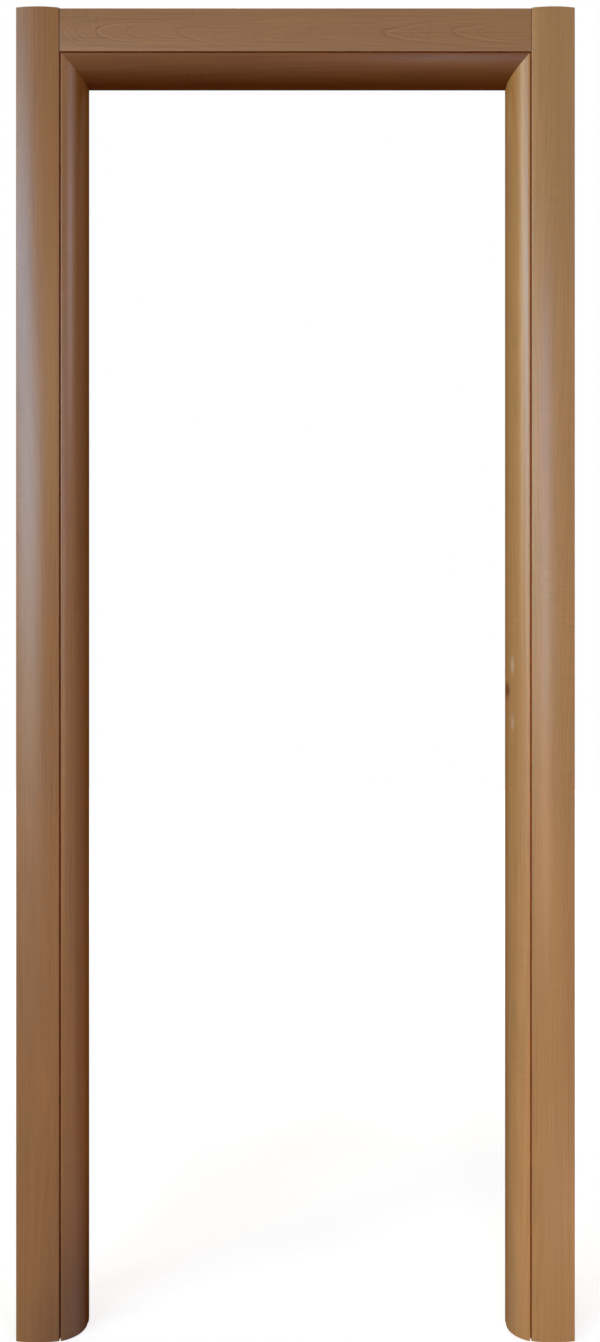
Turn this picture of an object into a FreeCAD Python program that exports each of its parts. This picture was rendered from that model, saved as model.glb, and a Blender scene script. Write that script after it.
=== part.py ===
import FreeCAD, Part
import math
import os

# Interior door frame: a rounded, mitred lining with a rebate for the leaf behind it, and a set
# of casings on each face of the wall, held by tongues in the lining's kerfs.
# Millimetres, +Z up, X across the opening, the front of the frame towards -Y.
# The origin is on the floor, in the middle of the opening and of the frame's whole depth.

V = FreeCAD.Vector

# Clear opening between the flat reveals, and the wall that the frame clasps
clear_width = 710.0
clear_height = 2100.0
wall_thickness = 100.0

# Lining section, measured out from the reveal and back from the front
lining_thickness = 54.0
face_width = 33.8
land_width = 2.0
land_edge_radius = 0.8
nose_radius = 48.5
reveal_depth = 62.0
stop_edge_radius = 1.0
rebate_step = 14.0
rebate_depth = 28.0
rebate_edge_radius = 1.5
rear_face_width = 28.0

# Shadow groove between lining and front casing
groove_width = 2.4
groove_depth = 8.0

# Casings, the same stock on both faces of the wall
casing_width = 72.0
casing_edge = 9.5
casing_crown = 4.0
casing_proud = 0.5
casing_inner_radius = 1.8
casing_outer_radius = 3.0
head_casing_setback = 0.3
head_casing_radius = 1.2
joint_gap = 0.2
relief_depth = 1.5
relief_inner_margin = 22.0
relief_outer_margin = 8.0

# Tongues on the casings and the kerfs that take them
tongue_thickness = 6.0
tongue_clearance = 0.2
front_tongue_length = 18.0
front_kerf_spare = 3.0
rear_tongue_engagement = 9.0
rear_kerf_depth = 22.0

# Seal in the stop's rear face
seal_kerf_inset = 5.0
seal_kerf_width = 3.0
seal_kerf_depth = 7.5
seal_fit = 0.25
seal_foot_inset = 1.6
seal_bulb_inset = 0.5
seal_height = 5.0
seal_foot_width = 9.5
seal_wall = 1.0
seal_floor_gap = 1.0
seal_lip_rise = 2.25
seal_crest_inset = 3.2
seal_back_rise = 3.0
seal_back_inset = 1.9

# Keep plate on the lock side
keep_height = 1050.0
keep_plate_width = 20.0
keep_plate_thickness = 2.5
keep_plate_corner_radius = 7.0
keep_plate_fit = 0.15
keep_slot_width = 12.0
keep_slot_radius = 2.0
keep_slot_to_end = 36.0
latch_slot_length = 30.0
bolt_slot_length = 46.0
slot_bridge = 22.0
keep_pocket_depth = 15.0
keep_pocket_fit = 0.5
keep_screw_from_end = 9.0
keep_screw_radius = 2.0
keep_screw_head_radius = 4.0
keep_screw_length = 25.0

# Screw-in barrel hinges, frame halves, on the hinge side
hinge_from_floor = 200.0
hinge_from_head = 200.0
barrel_radius = 6.5
barrel_length = 40.0
barrel_end_radius = 2.5
barrel_gap = 1.5
barrel_inset = 34.0
hinge_stem_radius = 3.75
hinge_stem_bite = 36.0
hinge_stem_fit = 0.1
hinge_pin_radius = 4.0
hinge_pin_foot_radius = 3.5
hinge_pin_fit = 0.03
hinge_pin_socket = 30.0
hinge_pin_free = 34.0
hinge_pin_chamfer = 1.5
hinge_washer_thickness = 1.5
hinge_washer_fit = 0.15

# Holes for the screws that fix the lining to the wall's subframe
fixing_from_floor = 120.0
fixing_from_head = 120.0
fixing_hole_radius = 2.75
fixing_sink_radius = 5.5
fixing_from_stop = 14.5

# Dowels across each mitre
dowel_radius = 4.0
dowel_length = 40.0
dowel_chamfer = 1.0
dowel_fit = 0.05
dowel_end_room = 0.5
dowel_first_depth = 36.0
dowel_spacing = 18.0

# Steel angle over the outside of each mitre
bracket_arm = 80.0
bracket_width = 25.0
bracket_thickness = 2.5
bracket_depth = 45.0
bracket_corner_radius = 3.0
bracket_first_hole = 30.0
bracket_second_hole = 62.0
bracket_screw_radius = 2.0
bracket_screw_head_radius = 4.0
bracket_screw_head_height = 2.4
bracket_screw_crown_radius = 2.4
bracket_screw_rim_height = 1.1
bracket_screw_length = 25.0
screw_fit = 0.05
recess_width = 0.9
recess_length = 4.0
recess_depth = 1.1

# Places that follow from the sizes above
half_width = clear_width / 2
lining_depth = reveal_depth + rebate_depth
front_casing_inner = face_width + groove_width
rear_casing_inner = rebate_step + rear_face_width
wall_front = casing_edge - casing_proud
wall_rear = wall_front + wall_thickness
frontmost = -casing_proud - casing_crown
rearmost = wall_rear + casing_edge + casing_crown
middle_depth = (frontmost + rearmost) / 2
nose_start = face_width - land_width
nose_depth = math.sqrt(nose_radius ** 2 - (nose_radius - nose_start) ** 2)
front_kerf_bottom = wall_front + front_tongue_length + front_kerf_spare
rear_kerf_bottom = lining_depth - rear_kerf_depth
keep_depth = reveal_depth + rebate_depth / 2 + casing_proud
barrel_depth = lining_depth + barrel_gap + barrel_radius
fixing_depth = reveal_depth + fixing_from_stop
keep_slots_reach = latch_slot_length + slot_bridge + bolt_slot_length
keep_plate_length = keep_slots_reach + 2 * keep_slot_to_end
hinge_low = hinge_from_floor
hinge_high = clear_height - hinge_from_head
hinge_places = {"lower": hinge_low, "middle": (hinge_low + hinge_high) / 2, "upper": hinge_high}
fixing_low = fixing_from_floor
fixing_high = clear_height - fixing_from_head
fixing_step = (fixing_high - fixing_low) / 3
fixing_places = [fixing_low + fixing_step * index for index in range(4)]
beyond = 4 * lining_depth


class Outline:
    """A closed outline of a section: a runs out from the reveal, d runs back from the front."""

    def __init__(self, a, d):
        self.here = V(a, d, 0)
        self.start = self.here
        self.edges = []

    def line(self, a, d):
        end = V(a, d, 0)
        self.edges.append(Part.LineSegment(self.here, end).toShape())
        self.here = end
        return self

    def arc(self, via_a, via_d, a, d):
        end = V(a, d, 0)
        self.edges.append(Part.Arc(self.here, V(via_a, via_d, 0), end).toShape())
        self.here = end
        return self

    def face(self):
        if self.here.distanceToPoint(self.start) > 1e-7:
            self.line(self.start.x, self.start.y)
        return Part.Face(Part.Wire(self.edges))

    def length(self, low, high):
        """The section run out as a straight moulding from low to high."""
        section = self.face()
        section.translate(V(0, 0, low))
        return section.extrude(V(0, 0, high - low))


def round_long_edge(solid, a, d, radius):
    """Rounds the edge that runs the whole length of a moulding at one corner of its section."""
    def lies_there(edge):
        return all(abs(p.X - a) < 1e-4 and abs(p.Y - d) < 1e-4 for p in edge.Vertexes)

    return solid.makeFillet(radius, [edge for edge in solid.Edges if lies_there(edge)])


def block(a_low, a_high, d_low, d_high, low, high):
    """A square edged block in a member's own section and length."""
    return Part.makeBox(a_high - a_low, d_high - d_low, high - low, V(a_low, d_low, low))


def turned(profile):
    """A solid turned about Z from pairs of radius and height."""
    points = [V(radius, 0, height) for radius, height in profile]
    face = Part.Face(Part.makePolygon(points + points[:1]))
    return face.revolve(V(0, 0, 0), V(0, 0, 1), 360)


def pointed(shape, at, direction):
    """Moves a piece made along -Z so that it starts at one place and runs along direction."""
    shape.Placement = FreeCAD.Placement(at, FreeCAD.Rotation(V(0, 0, -1), direction))
    return shape


# A member is made in its own section and length, then put on the left, on the right or overhead

def on_left(shape):
    moved = shape.mirror(V(0, 0, 0), V(1, 0, 0))
    moved.translate(V(-half_width, -middle_depth, 0))
    return moved


def on_right(shape):
    moved = shape.copy()
    moved.translate(V(half_width, -middle_depth, 0))
    return moved


def overhead(shape):
    moved = shape.copy()
    moved.rotate(V(0, 0, 0), V(0, 1, 0), -90)
    moved.translate(V(0, -middle_depth, clear_height))
    return moved


# Lining

def lining_outline():
    """The lining's section: land, rounded nose, reveal, seal kerf, rebate and both casing kerfs."""
    rear_low = rear_casing_inner - tongue_clearance
    rear_high = rear_casing_inner + tongue_thickness + tongue_clearance
    front_low = front_casing_inner - tongue_clearance
    front_high = front_casing_inner + tongue_thickness + tongue_clearance
    seal_bottom = reveal_depth - seal_kerf_depth
    half_way = math.asin(nose_depth / nose_radius) / 2
    via_a = nose_radius - nose_radius * math.cos(half_way)
    via_d = nose_depth - nose_radius * math.sin(half_way)
    path = Outline(face_width, 0)
    path.line(nose_start, 0)
    path.arc(via_a, via_d, 0, nose_depth)
    path.line(0, reveal_depth)
    path.line(seal_kerf_inset, reveal_depth)
    path.line(seal_kerf_inset, seal_bottom)
    path.line(seal_kerf_inset + seal_kerf_width, seal_bottom)
    path.line(seal_kerf_inset + seal_kerf_width, reveal_depth)
    path.line(rebate_step, reveal_depth)
    path.line(rebate_step, lining_depth)
    path.line(rear_low, lining_depth)
    path.line(rear_low, rear_kerf_bottom)
    path.line(rear_high, rear_kerf_bottom)
    path.line(rear_high, lining_depth)
    path.line(lining_thickness, lining_depth)
    path.line(lining_thickness, wall_front)
    path.line(front_high, wall_front)
    path.line(front_high, front_kerf_bottom)
    path.line(front_low, front_kerf_bottom)
    path.line(front_low, groove_depth)
    path.line(face_width, groove_depth)
    return path


def lining_length(low, high):
    solid = lining_outline().length(low, high)
    solid = round_long_edge(solid, face_width, 0, land_edge_radius)
    solid = round_long_edge(solid, 0, reveal_depth, stop_edge_radius)
    return round_long_edge(solid, rebate_step, lining_depth, rebate_edge_radius)


def mitre_waste(reveal_end):
    """What a 45 degree mitre cuts off a member whose reveal ends at this length."""
    corners = [(-beyond, -beyond), (beyond, beyond), (-beyond, beyond)]
    points = [V(a, -beyond, reveal_end + up) for a, up in corners]
    return Part.Face(Part.makePolygon(points + points[:1])).extrude(V(0, 2 * beyond, 0))


def mitred_leg(solid):
    return solid.cut(mitre_waste(clear_height))


def mitred_head(solid):
    """Cuts a head member at both ends; its own length runs across the opening, centred."""
    waste = mitre_waste(half_width)
    other_waste = waste.mirror(V(0, 0, 0), V(0, 0, 1))
    return solid.cut(waste).cut(other_waste)


def fixing_holes():
    """Countersunk holes through a leg, from the rebate's wall to the back of the lining."""
    tools = []
    for height in fixing_places:
        hole = Part.makeCylinder(
            fixing_hole_radius, lining_thickness, V(0, fixing_depth, height), V(1, 0, 0)
        )
        sink = Part.makeCone(
            fixing_sink_radius,
            fixing_hole_radius,
            fixing_sink_radius - fixing_hole_radius,
            V(rebate_step, fixing_depth, height),
            V(1, 0, 0),
        )
        tools += [hole, sink]
    return tools


def leg():
    solid = mitred_leg(lining_length(0, clear_height + lining_thickness))
    return solid.cut(fixing_holes())


def dowels_at_corner(radius, length, chamfer):
    """The dowels across one mitre, square to it, in the section and length of a leg."""
    middle = lining_thickness / 2
    half = length / 2
    profile = [(0, half), (radius - chamfer, half), (radius, half - chamfer)]
    if chamfer == 0:
        profile = [(0, half), (radius, half)]
    profile += [(r, -up) for r, up in reversed(profile)]
    pins = []
    for index in range(2):
        depth = dowel_first_depth + dowel_spacing * index
        pin = turned(profile)
        pins.append(pointed(pin, V(middle, depth, clear_height + middle), V(1, 0, -1)))
    return pins


def bracket_screw_places():
    """Where the angle's screws start, and which way they run, in a leg's section and length."""
    top = clear_height + lining_thickness
    outside = lining_thickness + bracket_thickness
    places = []
    for reach in (bracket_first_hole, bracket_second_hole):
        places.append((V(outside, bracket_depth, top - reach), V(-1, 0, 0)))
        places.append((V(lining_thickness - reach, bracket_depth, top + bracket_thickness), V(0, 0, -1)))
    return places


def cross_recess(top):
    """The driver's cross, cut down from one height."""
    corner = V(-recess_length / 2, -recess_width / 2, top - recess_depth)
    wide = Part.makeBox(recess_length, recess_width, recess_depth, corner)
    tall = wide.copy()
    tall.rotate(V(0, 0, 0), V(0, 0, 1), 90)
    return [wide, tall]


def pan_screw(radius, with_recess):
    """A pan head wood screw standing on its seat, running down -Z."""
    tip = 2 * radius
    length = bracket_screw_length
    head = bracket_screw_head_height
    edge = bracket_screw_head_radius
    profile = [(0, head), (bracket_screw_crown_radius, head), (edge, bracket_screw_rim_height), (edge, 0)]
    profile += [(radius, 0), (radius, tip - length), (0, -length)]
    screw = turned(profile)
    if with_recess:
        screw = screw.cut(cross_recess(head))
    return screw


def bracket_screws():
    return [pointed(pan_screw(bracket_screw_radius, True), *place) for place in bracket_screw_places()]


def bracket_screw_holes():
    radius = bracket_screw_radius + screw_fit
    return [pointed(pan_screw(radius, False), *place) for place in bracket_screw_places()]


def corner_bracket():
    """A steel angle on the outside of leg and head, with two holes in each arm."""
    top = clear_height + lining_thickness
    low = bracket_depth - bracket_width / 2
    high = bracket_depth + bracket_width / 2
    outside = lining_thickness + bracket_thickness
    down_arm = block(lining_thickness, outside, low, high, top - bracket_arm, top)
    in_arm = block(lining_thickness - bracket_arm, outside, low, high, top, top + bracket_thickness)
    angle = down_arm.fuse(in_arm).removeSplitter()

    def is_tip(edge):
        middle = edge.CenterOfMass
        across = abs(edge.Length - bracket_thickness) < 1e-4
        at_side = min(abs(middle.y - low), abs(middle.y - high)) < 1e-4
        end_down = abs(middle.z - (top - bracket_arm)) < 1e-4
        end_in = abs(middle.x - (lining_thickness - bracket_arm)) < 1e-4
        return across and at_side and (end_down or end_in)

    angle = angle.makeFillet(bracket_corner_radius, [edge for edge in angle.Edges if is_tip(edge)])
    return angle.cut(bracket_screw_holes())


# Casings

def casing_outline(inner, back, out, thickness, crown):
    """Section of a casing: back is the wall's face, out is the way that the casing's face looks."""
    outer = inner + casing_width
    face = back + out * thickness
    relief_low = inner + relief_inner_margin
    relief_high = outer - relief_outer_margin
    path = Outline(inner, back)
    path.line(inner, face)
    if crown:
        path.arc((inner + outer) / 2, face + out * crown, outer, face)
    else:
        path.line(outer, face)
    path.line(outer, back)
    path.line(relief_high, back)
    path.line(relief_high - relief_depth, back + out * relief_depth)
    path.line(relief_low + relief_depth, back + out * relief_depth)
    path.line(relief_low, back)
    return path


def tongue(inner, back, tip, low, high):
    """The strip along a casing's inner edge that runs into the lining's kerf."""
    d_low = min(back, tip)
    d_high = max(back, tip)
    return block(inner, inner + tongue_thickness, d_low, d_high, low, high)


def side_casing(inner, back, out, tip):
    """A domed full height casing; its tongue stops under the head's kerf."""
    top = clear_height + inner + casing_width
    face = back + out * casing_edge
    solid = casing_outline(inner, back, out, casing_edge, casing_crown).length(0, top)
    solid = round_long_edge(solid, inner, face, casing_inner_radius)
    solid = round_long_edge(solid, inner + casing_width, face, casing_outer_radius)
    tongue_top = clear_height + inner + tongue_thickness
    return solid.fuse(tongue(inner, back, tip, 0, tongue_top)).removeSplitter()


def head_casing(inner, back, out, tip):
    """A flat casing butted between the two side casings, a little behind their edges."""
    half = half_width + inner - joint_gap
    thickness = casing_edge - head_casing_setback
    face = back + out * thickness
    solid = casing_outline(inner, back, out, thickness, 0).length(-half, half)
    solid = round_long_edge(solid, inner, face, head_casing_radius)
    solid = round_long_edge(solid, inner + casing_width, face, casing_outer_radius)
    return solid.fuse(tongue(inner, back, tip, -half, half)).removeSplitter()


# Seal

def seal_outline():
    """A hollow bulb on a stem: the bulb lies on the stop and leans over the reveal's edge."""
    base = reveal_depth
    tip = base + seal_height
    low = seal_foot_inset
    high = low + seal_foot_width
    stem_low = seal_kerf_inset + seal_fit
    stem_high = seal_kerf_inset + seal_kerf_width - seal_fit
    stem_end = base - seal_kerf_depth + seal_fit
    crest = low + seal_crest_inset
    path = Outline(low, base)
    path.arc(seal_bulb_inset, base + seal_lip_rise, crest, tip)
    path.arc(high - seal_back_inset, base + seal_back_rise, high, base + seal_wall)
    path.line(high, base)
    path.line(stem_high, base)
    path.line(stem_high, stem_end)
    path.line(stem_low, stem_end)
    path.line(stem_low, base)
    return path


def seal_hollow_outline():
    base = reveal_depth + seal_wall
    tip = reveal_depth + seal_height - seal_wall
    low = seal_foot_inset + seal_wall
    high = seal_foot_inset + seal_foot_width - 2 * seal_wall
    crest = seal_foot_inset + seal_crest_inset
    path = Outline(low, base)
    path.arc(seal_bulb_inset + seal_wall, reveal_depth + seal_lip_rise, crest, tip)
    path.arc((crest + high) / 2 + seal_wall / 2, tip - seal_wall / 2, high, base)
    return path


def seal_length(low, high):
    return seal_outline().length(low, high).cut(seal_hollow_outline().length(low, high))


# Keep plate on the lock side, let into the rebate's wall

def slot_block(length, width, radius, start, depth, centre):
    """A block with rounded corners that runs outward from start, upright as the plate is."""
    low_d = keep_depth - width / 2
    low = centre - length / 2
    solid = block(start, start + depth, low_d, low_d + width, low, low + length)
    across = [edge for edge in solid.Edges if abs(edge.Vertexes[0].X - edge.Vertexes[1].X) > 1e-4]
    return solid.makeFillet(radius, across)


def keep_slots():
    """Length and centre height of the latch's slot and of the bolt's slot below it."""
    top = keep_height + keep_slots_reach / 2
    latch_centre = top - latch_slot_length / 2
    bolt_centre = top - keep_slots_reach + bolt_slot_length / 2
    return [(latch_slot_length, latch_centre), (bolt_slot_length, bolt_centre)]


def countersunk_screw(radius, head_radius, length):
    """A countersunk wood screw with its head's face at the origin, running down -Z."""
    tip = 2 * radius
    sink = head_radius - radius
    return turned([(0, 0), (head_radius, 0), (radius, -sink), (radius, tip - length), (0, -length)])


def keep_screw_places():
    half = keep_plate_length / 2 - keep_screw_from_end
    return [(V(rebate_step, keep_depth, keep_height + up), V(1, 0, 0)) for up in (-half, half)]


def keep_screws():
    screws = []
    for place in keep_screw_places():
        screw = countersunk_screw(keep_screw_radius, keep_screw_head_radius, keep_screw_length)
        screws.append(pointed(screw.cut(cross_recess(0)), *place))
    return screws


def keep_screw_holes():
    radius = keep_screw_radius + screw_fit
    head = keep_screw_head_radius + screw_fit
    holes = []
    for place in keep_screw_places():
        holes.append(pointed(countersunk_screw(radius, head, keep_screw_length), *place))
    return holes


def keep_plate():
    size = (keep_plate_length, keep_plate_width, keep_plate_corner_radius)
    plate = slot_block(*size, rebate_step, keep_plate_thickness, keep_height)
    for length, centre in keep_slots():
        size = (length, keep_slot_width, keep_slot_radius)
        plate = plate.cut(slot_block(*size, 0, lining_thickness, centre))
    return plate.cut(keep_screw_holes())


def keep_mortise():
    """What is cut out of the lock side leg for the plate, the latch, the bolt and the screws."""
    fit = 2 * keep_plate_fit
    size = (keep_plate_length + fit, keep_plate_width + fit, keep_plate_corner_radius + keep_plate_fit)
    tools = [slot_block(*size, rebate_step, keep_plate_thickness, keep_height)]
    spare = 2 * keep_pocket_fit
    for length, centre in keep_slots():
        size = (length + spare, keep_slot_width + spare, keep_slot_radius)
        tools.append(slot_block(*size, rebate_step, keep_pocket_depth, centre))
    return tools + keep_screw_holes()


# Hinge halves on the hinge side, at one height of the leg

def hinge_body(height):
    """A turned barrel with a socket for the pin, and the stem that screws into the lining."""
    low = -barrel_length / 2
    high = barrel_length / 2
    barrel = Part.makeCylinder(barrel_radius, barrel_length, V(0, 0, low))
    rims = [edge for edge in barrel.Edges if abs(edge.CenterOfMass.z - low) < 1e-4]
    barrel = barrel.makeFillet(barrel_end_radius, [edge for edge in rims if len(edge.Vertexes) == 1])
    barrel.translate(V(barrel_inset, barrel_depth, height))
    stem_end = lining_depth - hinge_stem_bite
    stem = Part.makeCylinder(
        hinge_stem_radius, barrel_depth - stem_end, V(barrel_inset, barrel_depth, height), V(0, -1, 0)
    )
    socket = Part.makeCylinder(
        hinge_pin_foot_radius + hinge_pin_fit,
        hinge_pin_socket,
        V(barrel_inset, barrel_depth, height + high - hinge_pin_socket),
    )
    return barrel.fuse(stem).cut(socket)


def hinge_stem_hole(height):
    depth = hinge_stem_bite + hinge_stem_fit
    radius = hinge_stem_radius + hinge_stem_fit
    return Part.makeCylinder(radius, depth, V(barrel_inset, lining_depth, height), V(0, -1, 0))


def hinge_washer(height):
    seat = V(barrel_inset, barrel_depth, height + barrel_length / 2)
    ring = Part.makeCylinder(barrel_radius, hinge_washer_thickness, seat)
    hole_radius = hinge_pin_foot_radius + hinge_washer_fit
    return ring.cut(Part.makeCylinder(hole_radius, hinge_washer_thickness, seat))


def hinge_pin(height):
    """The upright pin that the leaf's half drops over; its shoulder stands on the washer."""
    foot = barrel_length / 2 - hinge_pin_socket
    shoulder = barrel_length / 2 + hinge_washer_thickness
    top = shoulder + hinge_pin_free
    chamfer = hinge_pin_chamfer
    radius = hinge_pin_radius
    profile = [(0, foot), (hinge_pin_foot_radius, foot), (hinge_pin_foot_radius, shoulder)]
    profile += [(radius, shoulder), (radius, top - chamfer), (radius - chamfer, top), (0, top)]
    pin = turned(profile)
    pin.translate(V(barrel_inset, barrel_depth, height))
    return pin


# The whole frame, one shape for each named piece

front_tip = wall_front + front_tongue_length
rear_tip = lining_depth - rear_tongue_engagement
front_place = (front_casing_inner, wall_front, -1, front_tip)
rear_place = (rear_casing_inner, wall_rear, 1, rear_tip)

dowel_holes = dowels_at_corner(dowel_radius + dowel_fit, dowel_length + 2 * dowel_end_room, 0)
corner_holes = dowel_holes + bracket_screw_holes()
stem_holes = [hinge_stem_hole(height) for height in hinge_places.values()]

head = mitred_head(lining_length(-half_width - lining_thickness, half_width + lining_thickness))
head_holes = [on_left(tool) for tool in corner_holes] + [on_right(tool) for tool in corner_holes]

dowels = dowels_at_corner(dowel_radius, dowel_length, dowel_chamfer)
leg_seal = mitred_leg(seal_length(seal_floor_gap, clear_height + lining_thickness))
head_seal = mitred_head(seal_length(-half_width - lining_thickness, half_width + lining_thickness))

pieces = {
    "jamb_left": on_left(leg().cut(corner_holes + stem_holes)),
    "jamb_right": on_right(leg().cut(corner_holes + keep_mortise())),
    "head_jamb": overhead(head).cut(head_holes),
    "front_casing_left": on_left(side_casing(*front_place)),
    "front_casing_right": on_right(side_casing(*front_place)),
    "front_casing_head": overhead(head_casing(*front_place)),
    "rear_casing_left": on_left(side_casing(*rear_place)),
    "rear_casing_right": on_right(side_casing(*rear_place)),
    "rear_casing_head": overhead(head_casing(*rear_place)),
    "seal_left": on_left(leg_seal),
    "seal_right": on_right(leg_seal),
    "seal_head": overhead(head_seal),
    "strike_plate": on_right(keep_plate()),
    "strike_screws": on_right(Part.makeCompound(keep_screws())),
}

for name, height in hinge_places.items():
    pieces["hinge_body_" + name] = on_left(hinge_body(height))
    pieces["hinge_washer_" + name] = on_left(hinge_washer(height))
    pieces["hinge_pin_" + name] = on_left(hinge_pin(height))

for name, put in {"left": on_left, "right": on_right}.items():
    pieces["corner_bracket_" + name] = put(corner_bracket())
    pieces["bracket_screws_" + name] = put(Part.makeCompound(bracket_screws()))
    pieces["corner_dowels_" + name] = put(Part.makeCompound(dowels))

os.makedirs("parts", exist_ok=True)
for name, shape in pieces.items():
    shape.exportStep("parts/" + name + ".step")
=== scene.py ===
import math

import bmesh
import bpy
from mathutils import Matrix, Vector


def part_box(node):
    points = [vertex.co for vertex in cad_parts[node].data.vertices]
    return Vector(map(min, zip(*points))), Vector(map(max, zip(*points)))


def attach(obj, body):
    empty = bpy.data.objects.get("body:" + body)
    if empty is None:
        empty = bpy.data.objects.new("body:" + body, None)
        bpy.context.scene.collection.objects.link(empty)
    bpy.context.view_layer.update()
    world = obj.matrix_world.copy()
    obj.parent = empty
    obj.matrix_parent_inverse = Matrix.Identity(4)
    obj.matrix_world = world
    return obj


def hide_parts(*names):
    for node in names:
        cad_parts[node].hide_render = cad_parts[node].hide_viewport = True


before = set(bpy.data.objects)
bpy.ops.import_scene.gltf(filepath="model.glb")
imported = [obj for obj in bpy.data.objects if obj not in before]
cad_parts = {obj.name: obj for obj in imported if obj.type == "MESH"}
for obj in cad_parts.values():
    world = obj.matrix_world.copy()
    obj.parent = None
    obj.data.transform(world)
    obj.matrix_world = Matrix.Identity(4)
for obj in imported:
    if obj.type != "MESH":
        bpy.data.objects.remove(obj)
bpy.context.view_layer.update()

# Sizes, in metres. A moulding's section is drawn with a running out from the reveal and d running
# back from the lining's front land, as it is cut at the bench, and is then put in its place.

MM = 0.001

jamb_low, jamb_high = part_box("jamb_right")
head_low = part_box("head_jamb")[0]
front_low, front_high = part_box("front_casing_right")
front_head_low, front_head_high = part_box("front_casing_head")
rear_low, rear_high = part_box("rear_casing_right")
rear_head_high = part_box("rear_casing_head")[1]
keep_low, keep_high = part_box("strike_plate")

reveal = jamb_low.x
land_plane = jamb_low.y
clear_height = head_low.z
lining_thickness = jamb_high.x - jamb_low.x
lining_depth = jamb_high.y - jamb_low.y

LAND_WIDTH = 2 * MM
FACE_WIDTH = 33.8 * MM
NOSE_RADIUS = 48.5 * MM
REVEAL_DEPTH = 62 * MM
REBATE_STEP = keep_low.x - reveal
SEAL_KERF = (5 * MM, 8 * MM, 7.5 * MM)
GROOVE_DEPTH = 8 * MM
KERF_CLEARANCE = 0.2 * MM
TONGUE = 6 * MM
FRONT_KERF_BOTTOM = 30 * MM
REAR_KERF_BOTTOM = lining_depth - 22 * MM
CASING_EDGE = 9.5 * MM
CASING_CROWN = 4 * MM
HEAD_SETBACK = 0.3 * MM
RELIEF_DEPTH = 1.5 * MM
RELIEF_MARGINS = (22 * MM, 8 * MM)
WALL_FRONT = 9 * MM
WALL_REAR = 109 * MM

front_inner = front_low.x - reveal
front_outer = front_high.x - reveal
rear_inner = rear_low.x - reveal
rear_outer = rear_high.x - reveal
front_tongue_tip = front_high.y - land_plane
rear_tongue_tip = rear_low.y - land_plane
nose_depth = math.sqrt(NOSE_RADIUS**2 - (NOSE_RADIUS - FACE_WIDTH + LAND_WIDTH) ** 2)

# The radius to which each arris is eased, with the number of facets that the round gets
LAND_EASE = (0.8 * MM, 4)
STOP_EASE = (1.0 * MM, 4)
REBATE_EASE = (1.5 * MM, 5)
OUTER_EASE = (3 * MM, 6)
DOMED_INNER_EASE = (1.8 * MM, 5)
FLAT_INNER_EASE = (1.2 * MM, 5)
ARRIS = 0.3 * MM
NOSE_STEPS = 28
DOME_STEPS = 40

# Where a member goes: the section and length above are turned into the doorway's own places
LEFT = Matrix.Translation((-reveal, land_plane, 0)) @ Matrix.Scale(-1, 4, (1, 0, 0))
RIGHT = Matrix.Translation((reveal, land_plane, 0))
OVERHEAD = Matrix.Translation((0, land_plane, clear_height)) @ Matrix.Rotation(-math.pi / 2, 4, "Y")


# Mouldings


class Section:
    """The outline of a moulding, drawn point by point and spun where it is round."""

    def __init__(self, a, d):
        self.bm = bmesh.new()
        self.start = self.bm.verts.new((a, d, 0))
        self.tip = self.start

    def line(self, a, d):
        vert = self.bm.verts.new((a, d, 0))
        self.bm.edges.new((self.tip, vert))
        self.tip = vert
        return self

    def lines(self, *points):
        for a, d in points:
            self.line(a, d)
        return self

    def round(self, a, d, angle, steps):
        """Goes on round the centre a, d by an angle."""
        swept = bmesh.ops.spin(
            self.bm, geom=[self.tip], cent=(a, d, 0), axis=(0, 0, 1), angle=angle, steps=steps
        )
        self.tip = [v for v in swept["geom_last"] if isinstance(v, bmesh.types.BMVert)][0]
        return self

    def run_out(self, low, high):
        """Closes the outline and runs it out into a solid from low to high."""
        bm = self.bm
        bm.edges.new((self.tip, self.start))
        bmesh.ops.translate(bm, verts=bm.verts[:], vec=(0, 0, low))
        end = bmesh.ops.contextual_create(bm, geom=bm.edges[:])["faces"]
        run = bmesh.ops.extrude_face_region(bm, geom=end, use_keep_orig=True)
        moved = [v for v in run["geom"] if isinstance(v, bmesh.types.BMVert)]
        bmesh.ops.translate(bm, verts=moved, vec=(0, 0, high - low))
        bmesh.ops.recalc_face_normals(bm, faces=bm.faces[:])
        return bm


def lengthwise(edge, longer_than=20 * MM):
    ends = [v.co for v in edge.verts]
    return abs(ends[0].z - ends[1].z) > longer_than


def ease(bm, a, d, radius, segments):
    """Rounds the long arris that runs through the place a, d of the section."""

    def in_place(edge):
        co = edge.verts[0].co
        return math.hypot(co.x - a, co.y - d) < 0.01 * MM

    edges = [e for e in bm.edges if lengthwise(e) and in_place(e)]
    bmesh.ops.bevel(
        bm, geom=edges, offset=radius, segments=segments, profile=0.5, affect="EDGES", material=-1
    )


def ease_the_rest(bm, angle=math.radians(40)):
    """Takes the sharpness off every other long arris, as sanding does."""
    edges = [e for e in bm.edges if lengthwise(e) and len(e.link_faces) == 2]
    outer = [e for e in edges if e.calc_face_angle() > angle and e.calc_face_angle_signed() > 0]
    bmesh.ops.bevel(bm, geom=outer, offset=ARRIS, segments=2, profile=0.5, affect="EDGES", material=-1)


def mitre(bm, reach):
    """Cuts the end off at 45 degrees where the reveal ends."""
    whole = bm.verts[:] + bm.edges[:] + bm.faces[:]
    cut = bmesh.ops.bisect_plane(
        bm, geom=whole, dist=0.001 * MM, plane_co=(0, 0, reach), plane_no=(-1, 0, 1), clear_outer=True
    )
    rim = [g for g in cut["geom_cut"] if isinstance(g, bmesh.types.BMEdge)]
    bmesh.ops.contextual_create(bm, geom=rim)


def other_mitre(bm, reach):
    bmesh.ops.scale(bm, verts=bm.verts[:], vec=(1, 1, -1))
    mitre(bm, reach)
    bmesh.ops.scale(bm, verts=bm.verts[:], vec=(1, 1, -1))


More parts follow.
